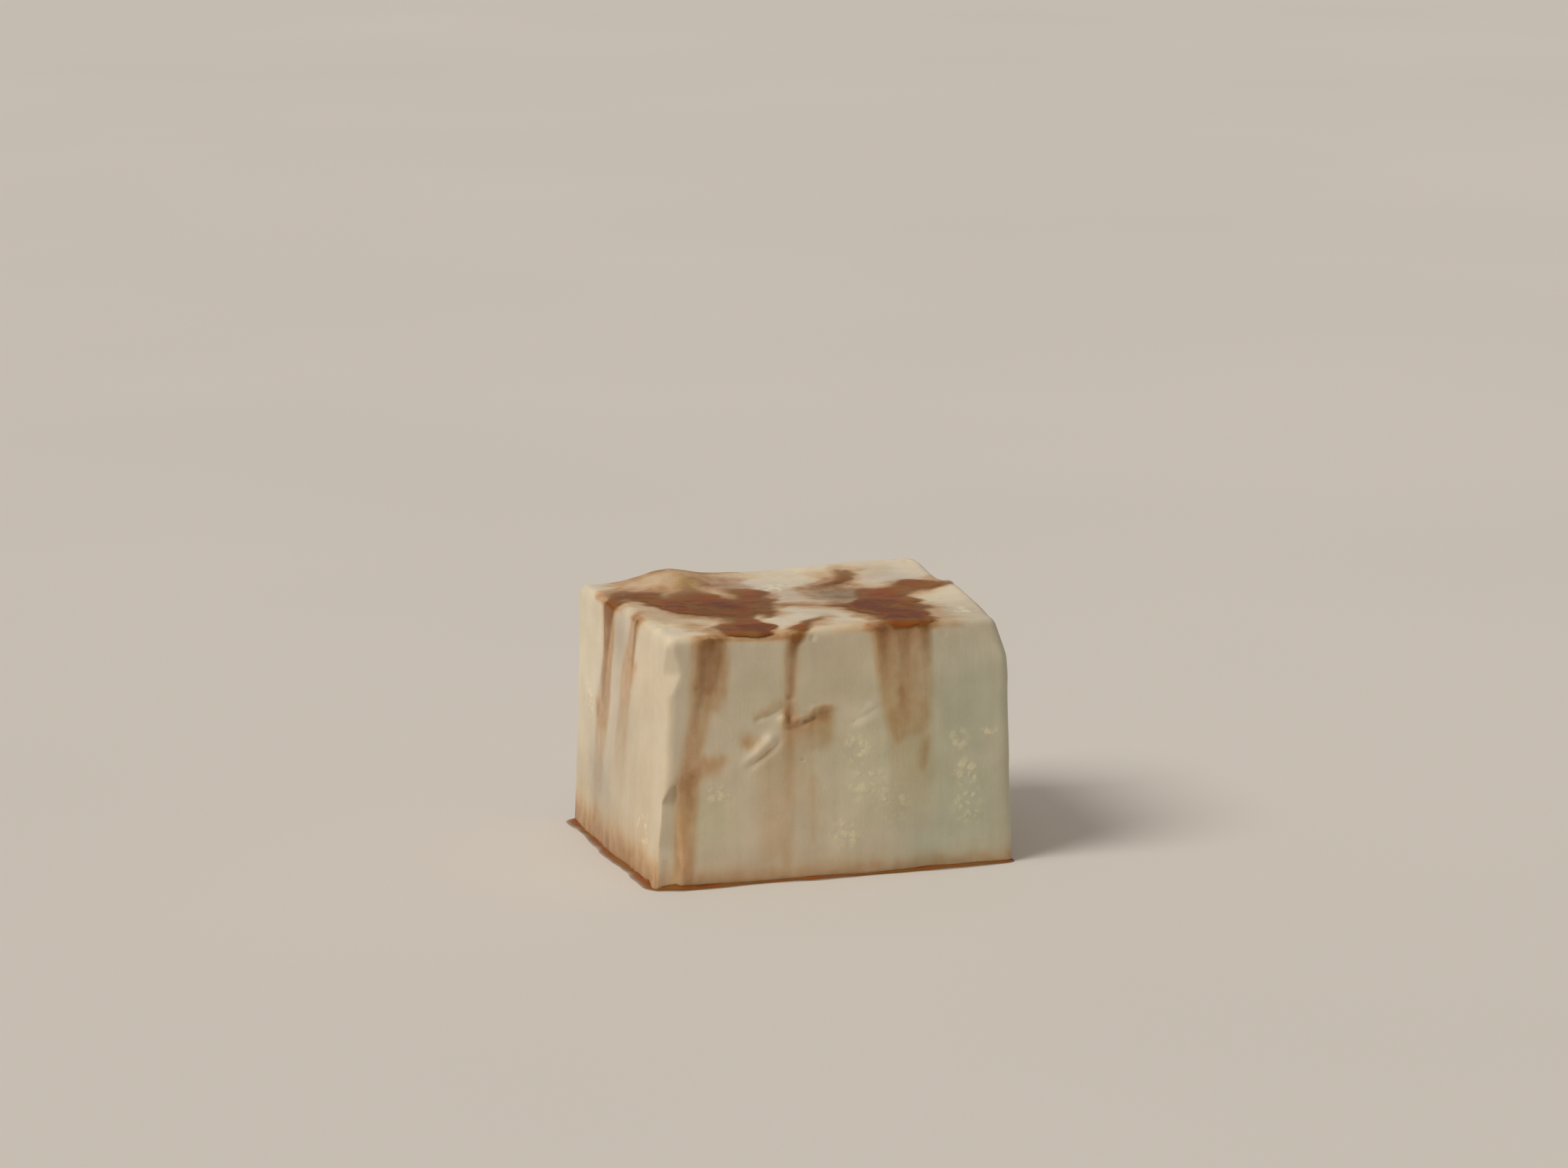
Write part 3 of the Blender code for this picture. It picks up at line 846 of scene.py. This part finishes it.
class Nodes:
    """A short way to lay out a material's nodes."""

    def __init__(self, name):
        self.material = bpy.data.materials.new(name)
        self.material.use_nodes = True
        self.tree = self.material.node_tree
        self.shader = self.tree.nodes["Principled BSDF"]
        self.column = 0

    def add(self, kind, inputs=None, **settings):
        node = self.tree.nodes.new(kind)
        self.column -= 1
        node.location = (self.column * 40, (self.column % 5) * 160)
        for name, value in settings.items():
            setattr(node, name, value)
        for name, value in (inputs or {}).items():
            self.feed(node.inputs[name], value)
        return node

    def feed(self, socket, value):
        if isinstance(value, bpy.types.NodeSocket):
            self.tree.links.new(value, socket)
        else:
            socket.default_value = value

    def math(self, operation, first, second=0.0, third=0.0, clamp=False):
        node = self.add("ShaderNodeMath", operation=operation, use_clamp=clamp)
        for socket, value in zip(node.inputs, (first, second, third)):
            self.feed(socket, value)
        return node.outputs[0]

    def mix(self, blend, factor, first, second):
        node = self.add("ShaderNodeMix", data_type="RGBA", blend_type=blend)
        self.feed(node.inputs["Factor"], factor)
        self.feed(node.inputs["A"], first)
        self.feed(node.inputs["B"], second)
        return node.outputs["Result"]

    def place(self, stretch=(1, 1, 1)):
        """Object coordinates, stretched."""
        source = self.add("ShaderNodeTexCoord").outputs["Object"]
        return self.add("ShaderNodeMapping", {"Vector": source, "Scale": stretch}).outputs["Vector"]

    def noise(self, size, detail=3.0, stretch=(1, 1, 1), roughness=0.5):
        """Soft noise whose blobs are about this big."""
        inputs = {
            "Vector": self.place(stretch), "Scale": 1 / size, "Detail": detail, "Roughness": roughness,
        }
        return self.add("ShaderNodeTexNoise", inputs).outputs["Fac"]

    def attribute(self, name, output):
        return self.add("ShaderNodeAttribute", attribute_name=name).outputs[output]

    def ramp(self, factor, stops, output="Color"):
        node = self.add("ShaderNodeValToRGB", {"Fac": factor})
        elements = node.color_ramp.elements
        while len(elements) < len(stops):
            elements.new(0.5)
        for element, (position, colour) in zip(elements, stops):
            element.position = position
            element.color = (*colour, 1.0)
        return node.outputs[output]

    def between(self, value, start, end, low=0.0, high=1.0):
        """The value's place between start and end, as a number from low to high."""
        inputs = {"Value": value, "From Min": start, "From Max": end, "To Min": low, "To Max": high}
        return self.add("ShaderNodeMapRange", inputs).outputs["Result"]


def curd_material(settings):
    """Damp, pale curd: mottled, faintly grained down the walls, and browned where sauce has soaked in; its tint
    carries painted shade, highlights and lilac reflections, its soak one stroke of painted shade, and its pale flecks
    are painted highlights.
    """
    made = Nodes("tofu_curd")
    mottle = made.between(made.noise(9 * MM, 4.0), 0.35, 0.7)
    colour = made.mix("MIX", mottle, (*settings.colour, 1), (*settings.deep_colour, 1))
    colour = made.mix("MULTIPLY", 1.0, colour, made.attribute("tint_and_painted_light", "Color"))
    fibre = made.noise(2.0 * MM, 3.0, (1, 1, 0.08))
    shade = made.ramp(fibre, ((0.3, (0.95, 0.95, 0.93)), (0.7, (1.0, 1.0, 1.0))))
    colour = made.mix("MULTIPLY", 0.7, colour, shade)

    crumb = made.attribute("crumb", "Fac")
    nudge = made.add("ShaderNodeTexNoise", {"Vector": made.place(), "Scale": 1 / (1.2 * MM), "Detail": 1.0})
    nudged = made.add("ShaderNodeVectorMath", operation="MULTIPLY_ADD")
    for socket, value in zip(nudged.inputs, (nudge.outputs["Color"], (1.6 * MM,) * 3, made.place())):
        made.feed(socket, value)
    dots = made.add("ShaderNodeTexVoronoi", {"Vector": nudged.outputs["Vector"], "Scale": 1 / (2.0 * MM)})
    size = made.between(made.noise(5 * MM, 2.0), 0.38, 0.58, 0.26, 0.56)
    flecks_and_highlights = made.between(made.math("SUBTRACT", size, dots.outputs["Distance"]), -0.1, 0.2)
    lift = made.math("MULTIPLY", flecks_and_highlights, crumb)
    # Painted highlights: the flecks lighten the crumbly patches as if the crumbs caught the light; their bump below
    # is real relief.
    colour = made.mix("MIX", made.math("MULTIPLY", lift, 0.7), colour, (*settings.fleck_highlight_colour, 1))

    threads = made.noise(3.0 * MM, 2.0, (1, 1, 0.12))
    cloud = made.noise(3.2 * MM, 4.0)
    uneven = made.math(
        "ADD", made.between(threads, 0.3, 0.7, -0.5, 0.5), made.between(cloud, 0.3, 0.7, -0.45, 0.45))
    # The soak attribute also holds the stroke of painted shade above the lower nick, which is browned and made
    # glossier here like the stains.
    soak_and_painted_shade = made.attribute("soak_and_painted_shade", "Fac")
    swing = made.math("MULTIPLY", made.math("MULTIPLY", soak_and_painted_shade, uneven), 0.36)
    wet_and_painted_shade = made.math("ADD", soak_and_painted_shade, swing, clamp=True)
    stain_and_painted_shade = made.ramp(wet_and_painted_shade, (
        (0.0, (1.0, 1.0, 1.0)),
        (0.2, (0.94, 0.87, 0.78)),
        (0.45, (0.84, 0.66, 0.50)),
        (0.7, (0.66, 0.45, 0.29)),
        (1.0, (0.40, 0.21, 0.11)),
    ))
    redder = made.ramp(made.noise(7 * MM, 3.0, (1, 1, 0.4)), ((0.35, (1.0, 1.0, 0.9)), (0.65, (1.0, 0.9, 0.92))))
    stain_and_painted_shade = made.mix("MULTIPLY", wet_and_painted_shade, stain_and_painted_shade, redder)
    colour = made.mix("MULTIPLY", 1.0, colour, stain_and_painted_shade)
    made.feed(made.shader.inputs["Base Color"], colour)

    rough = made.between(made.noise(2.5 * MM, 3.0), 0.3, 0.7, settings.roughness - 0.08, settings.roughness + 0.1)
    rough = made.math("SUBTRACT", rough, made.math("MULTIPLY", wet_and_painted_shade, 0.2))
    made.feed(made.shader.inputs["Roughness"], rough)

    skin = made.noise(0.8 * MM, 4.0, roughness=0.65)
    grain = made.noise(1.2 * MM, 2.0, (1, 1, 0.08))
    height = made.math("ADD", made.math("MULTIPLY", skin, 0.6), made.math("MULTIPLY", grain, 0.3))
    height = made.math("ADD", height, made.math("MULTIPLY", lift, 0.5))
    bump = made.add("ShaderNodeBump", {"Strength": 0.5, "Distance": 0.3 * MM, "Height": height})
    made.feed(made.shader.inputs["Normal"], bump.outputs["Normal"])

    made.feed(made.shader.inputs["Subsurface Weight"], 0.5)
    made.feed(made.shader.inputs["Subsurface Radius"], (1.0, 0.62, 0.36))
    made.feed(made.shader.inputs["Subsurface Scale"], 1.2 * MM)
    made.feed(made.shader.inputs["IOR"], 1.38)
    return made.material


def sauce_material(settings):
    """Thin soy-type sauce: amber and clear where it is thin, chestnut to umber where it is deep, and wet."""
    made = Nodes("brown_sauce")
    thickness = made.attribute("thickness", "Fac")
    uneven = made.between(made.noise(5.0 * MM, 2.0, (0.4, 1, 1)), 0.3, 0.7, -0.3, 0.3)
    depth = made.math("ADD", thickness, made.math("MULTIPLY", thickness, uneven), clamp=True)
    colour = made.ramp(depth, (
        (0.0, tuple(settings.amber)),
        (0.4, tuple(settings.ochre)),
        (0.72, tuple(settings.chestnut)),
        (1.0, tuple(settings.umber)),
    ))
    streaks = made.between(made.noise(6.0 * MM, 2.0, (0.9, 0.4, 0.6)), 0.45, 0.62, 0.0, 0.8)
    colour = made.mix("MIX", streaks, colour, (*settings.ochre, 1))
    made.feed(made.shader.inputs["Base Color"], colour)
    made.feed(made.shader.inputs["Alpha"], made.between(depth, 0.0, 0.8, 0.04, 0.95))
    rough = made.between(made.noise(7 * MM, 2.0, (0.5, 1, 1)), 0.35, 0.65, settings.roughness, settings.roughness + 0.25)
    made.feed(made.shader.inputs["Roughness"], rough)
    ripple = made.noise(5.0 * MM, 1.0, (0.6, 1, 1))
    bump = made.add("ShaderNodeBump", {"Strength": 0.3, "Distance": 1.0 * MM, "Height": ripple})
    made.feed(made.shader.inputs["Normal"], bump.outputs["Normal"])
    made.feed(made.shader.inputs["IOR"], 1.34)
    made.feed(made.shader.inputs["Specular IOR Level"], 0.45)
    return made.material


def floor_material(settings):
    made = Nodes("plain_floor")
    cloud = made.between(made.noise(0.35, 2.0), 0.3, 0.7, 0.0, 1.0)
    pale = (*settings.floor_colour, 1)
    dim = (*(0.97 * part for part in settings.floor_colour), 1)
    made.feed(made.shader.inputs["Base Color"], made.mix("MIX", cloud, pale, dim))
    made.feed(made.shader.inputs["Roughness"], 0.85)
    return made.material


# ---------------------------------------------------------------- operators


class TOFU_OT_curd(bpy.types.Operator):
    """Make the curd's skin over the block"""

    bl_idname = "tofu.curd"
    bl_label = "Make the curd"

    def execute(self, context):
        settings = context.scene.tofu_curd
        curd = make_curd(settings)
        colour_curd(curd)
        dress(curd, curd_material(settings))
        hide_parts(NODE)
        return {"FINISHED"}


class TOFU_OT_sauce(bpy.types.Operator):
    """Lay the standing sauce on the curd and let it run down the walls"""

    bl_idname = "tofu.sauce"
    bl_label = "Pour the sauce"

    def execute(self, context):
        settings = context.scene.tofu_sauce
        sauce = make_sauce(bpy.data.objects["curd"], settings)
        dress(sauce, sauce_material(settings))
        return {"FINISHED"}


class TOFU_OT_foot_sauce(bpy.types.Operator):
    """Stand a narrow skirt of sauce round the foot"""

    bl_idname = "tofu.foot_sauce"
    bl_label = "Pour the foot sauce"

    def execute(self, context):
        skirt = make_foot_sauce(bpy.data.objects["curd"], context.scene.tofu_sauce)
        dress(skirt, bpy.data.materials["brown_sauce"])
        return {"FINISHED"}


class TOFU_OT_stage(bpy.types.Operator):
    """Set out the floor, the lights and the camera"""

    bl_idname = "tofu.stage"
    bl_label = "Set the stage"

    def execute(self, context):
        settings = context.scene.tofu_stage
        bpy.ops.object.select_all(action="DESELECT")
        bpy.ops.mesh.primitive_plane_add(size=24)
        floor = context.object
        floor.name = "floor"
        floor.data.materials.append(floor_material(settings))

        middle = Vector((0, 0, (CAD_LOW.z + CAD_HIGH.z) / 2 - 1.8 * MM))
        key_way = Vector((-0.66, -0.16, 0.735)).normalized()
        bpy.ops.object.light_add(type="SUN", location=middle + key_way)
        key = context.object
        key.name = "key_light"
        key.data.energy = settings.key_strength
        key.data.angle = settings.key_spread
        key.data.color = (1.0, 0.98, 0.95)
        key.rotation_euler = key_way.to_track_quat("Z", "Y").to_euler()

        world = bpy.data.worlds.new("soft_light")
        context.scene.world = world
        world.use_nodes = True
        sky = world.node_tree
        way = sky.nodes.new("ShaderNodeTexCoord").outputs["Generated"]
        split = sky.nodes.new("ShaderNodeSeparateXYZ")
        ramp = sky.nodes.new("ShaderNodeValToRGB")
        sky.links.new(way, split.inputs["Vector"])
        sky.links.new(split.outputs["Z"], ramp.inputs["Fac"])
        low, high = ramp.color_ramp.elements
        low.position, low.color = 0.2, (0.07, 0.065, 0.075, 1)
        high.position, high.color = 0.78, (1.0, 0.90, 0.77, 1)
        middle_stop = ramp.color_ramp.elements.new(0.5)
        middle_stop.color = (0.66, 0.62, 0.68, 1)
        behind = sky.nodes.new("ShaderNodeMapRange")
        behind.inputs["From Min"].default_value, behind.inputs["From Max"].default_value = 0.35, 0.9
        sky.links.new(split.outputs["Y"], behind.inputs["Value"])
        band = sky.nodes.new("ShaderNodeValToRGB")
        sky.links.new(split.outputs["Z"], band.inputs["Fac"])
        start, end = band.color_ramp.elements
        start.position, start.color = 0.02, (0, 0, 0, 1)
        end.position, end.color = 0.5, (0, 0, 0, 1)
        band.color_ramp.elements.new(0.2).color = (0.18, 0.17, 0.20, 1)
        glow = sky.nodes.new("ShaderNodeMix")
        glow.data_type, glow.blend_type = "RGBA", "ADD"
        sky.links.new(behind.outputs["Result"], glow.inputs["Factor"])
        sky.links.new(ramp.outputs["Color"], glow.inputs["A"])
        sky.links.new(band.outputs["Color"], glow.inputs["B"])
        sky.links.new(glow.outputs["Result"], sky.nodes["Background"].inputs["Color"])
        sky.nodes["Background"].inputs["Strength"].default_value = settings.world_strength

        turn, rise = settings.azimuth, settings.elevation
        back = Vector((math.sin(turn) * math.cos(rise), -math.cos(turn) * math.cos(rise), math.sin(rise)))
        bpy.ops.object.camera_add(location=middle + back * settings.distance)
        camera = context.object
        camera.rotation_euler = back.to_track_quat("Z", "Y").to_euler()
        camera.data.sensor_width = 36
        camera.data.lens = settings.lens
        camera.data.shift_x, camera.data.shift_y = settings.shift
        camera.data.clip_start = 0.01
        camera.data.clip_end = 50
        context.scene.camera = camera
        context.scene.view_settings.view_transform = "Standard"
        return {"FINISHED"}


OPERATORS = (TOFU_OT_curd, TOFU_OT_sauce, TOFU_OT_foot_sauce, TOFU_OT_stage)
SETTINGS = (("tofu_curd", CurdSettings), ("tofu_sauce", SauceSettings), ("tofu_stage", StageSettings))


class TOFU_PT_panel(bpy.types.Panel):
    """The block's pieces and their settings"""

    bl_idname = "TOFU_PT_panel"
    bl_label = "Tofu block"
    bl_space_type = "VIEW_3D"
    bl_region_type = "UI"
    bl_category = "Tofu"

    def draw(self, context):
        for operator in OPERATORS:
            self.layout.operator(operator.bl_idname)
        for name, group in SETTINGS:
            box = self.layout.box()
            for setting in group.__annotations__:
                box.prop(getattr(context.scene, name), setting)


def register():
    for name, group in SETTINGS:
        bpy.utils.register_class(group)
        setattr(bpy.types.Scene, name, bpy.props.PointerProperty(type=group))
    for made in (*OPERATORS, TOFU_PT_panel):
        bpy.utils.register_class(made)


def unregister():
    for made in (TOFU_PT_panel, *reversed(OPERATORS)):
        bpy.utils.unregister_class(made)
    for name, group in reversed(SETTINGS):
        delattr(bpy.types.Scene, name)
        bpy.utils.unregister_class(group)


def main():
    register()
    bpy.ops.tofu.curd()
    bpy.ops.tofu.sauce()
    bpy.ops.tofu.foot_sauce()
    bpy.ops.tofu.stage()


if __name__ == "__main__":
    main()
